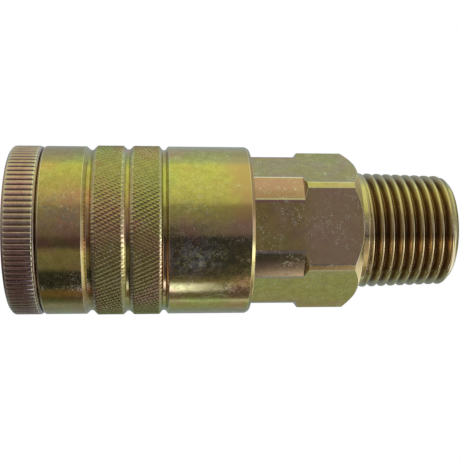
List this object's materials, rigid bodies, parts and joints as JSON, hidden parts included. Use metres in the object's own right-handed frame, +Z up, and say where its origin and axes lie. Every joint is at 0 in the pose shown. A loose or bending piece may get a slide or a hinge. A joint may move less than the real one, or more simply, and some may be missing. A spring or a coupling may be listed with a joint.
{
  "type": "quick disconnect coupler",
  "caption": "Pull-back-sleeve quick disconnect socket with locking balls and shut-off valve, knurled grip bands, hexagon adapter and male tapered pipe thread.",
  "frame": {"origin": "on the axis, at the hexagon's end face where the male thread begins", "axes": "+X along the axis towards the thread's free end, -X towards the mouth that takes the plug, +Z up through one corner of the hexagon, so that one wrench flat faces -Y"},
  "size_m": [0.0794, 0.0308, 0.0308],
  "materials": {
    "plated_rose": "yellow-chromate zinc plating, rose tint, satin",
    "plated_gold": "yellow-chromate zinc plating, olive-gold tint, glossy and iridescent",
    "plated_bronze": "yellow-chromate zinc plating, bronze tint, satin with fine scratches",
    "spring_steel": "drawn spring wire, semi-gloss",
    "zinc_steel": "clear zinc plating, satin",
    "ball_steel": "polished hardened steel",
    "brass": "machined brass, fine turning marks",
    "nitrile": "black nitrile rubber, satin"
  },
  "bodies": {
    "body": {"nose_socket": "plated_rose", "hex_adapter": "plated_bronze", "plug_seal": "nitrile", "body_seal": "nitrile", "valve_guide": "brass", "sleeve_spring": "spring_steel", "valve_spring": "spring_steel"},
    "sleeve": {"sleeve": "plated_gold", "spring_washer": "zinc_steel"},
    "valve": {"valve_poppet": "brass", "valve_seal": "nitrile", "seal_retainer": "zinc_steel"},
    "ball_1": {"lock_ball_1": "ball_steel"},
    "ball_2": {"lock_ball_2": "ball_steel"},
    "ball_3": {"lock_ball_3": "ball_steel"},
    "ball_4": {"lock_ball_4": "ball_steel"},
    "ball_5": {"lock_ball_5": "ball_steel"},
    "ball_6": {"lock_ball_6": "ball_steel"},
    "ball_7": {"lock_ball_7": "ball_steel"},
    "ball_8": {"lock_ball_8": "ball_steel"}
  },
  "joints": [
    {"name": "sleeve_slide", "type": "slide", "parent": "body", "child": "sleeve", "axis": [1, 0, 0], "range_m": [0, 0.007], "stiffness_N_per_m": 3500, "springref_m": -0.006, "deforming": ["sleeve_spring"]},
    {"name": "valve_slide", "type": "slide", "parent": "body", "child": "valve", "axis": [1, 0, 0], "range_m": [0, 0.005], "stiffness_N_per_m": 1200, "springref_m": -0.004, "deforming": ["valve_spring"]},
    {"name": "ball_1_slide", "type": "slide", "parent": "body", "child": "ball_1", "axis": [0, 0, 1], "range_m": [0, 0.0012]},
    {"name": "ball_2_slide", "type": "slide", "parent": "body", "child": "ball_2", "axis": [0, -0.7071, 0.7071], "range_m": [0, 0.0012]},
    {"name": "ball_3_slide", "type": "slide", "parent": "body", "child": "ball_3", "axis": [0, -1, 0], "range_m": [0, 0.0012]},
    {"name": "ball_4_slide", "type": "slide", "parent": "body", "child": "ball_4", "axis": [0, -0.7071, -0.7071], "range_m": [0, 0.0012]},
    {"name": "ball_5_slide", "type": "slide", "parent": "body", "child": "ball_5", "axis": [0, 0, -1], "range_m": [0, 0.0012]},
    {"name": "ball_6_slide", "type": "slide", "parent": "body", "child": "ball_6", "axis": [0, 0.7071, -0.7071], "range_m": [0, 0.0012]},
    {"name": "ball_7_slide", "type": "slide", "parent": "body", "child": "ball_7", "axis": [0, 1, 0], "range_m": [0, 0.0012]},
    {"name": "ball_8_slide", "type": "slide", "parent": "body", "child": "ball_8", "axis": [0, 0.7071, 0.7071], "range_m": [0, 0.0012]}
  ],
  "couplings": [
    {"joint": "ball_1_slide", "follows": "sleeve_slide", "ratio": 0.1714},
    {"joint": "ball_2_slide", "follows": "sleeve_slide", "ratio": 0.1714},
    {"joint": "ball_3_slide", "follows": "sleeve_slide", "ratio": 0.1714},
    {"joint": "ball_4_slide", "follows": "sleeve_slide", "ratio": 0.1714},
    {"joint": "ball_5_slide", "follows": "sleeve_slide", "ratio": 0.1714},
    {"joint": "ball_6_slide", "follows": "sleeve_slide", "ratio": 0.1714},
    {"joint": "ball_7_slide", "follows": "sleeve_slide", "ratio": 0.1714},
    {"joint": "ball_8_slide", "follows": "sleeve_slide", "ratio": 0.1714}
  ]
}
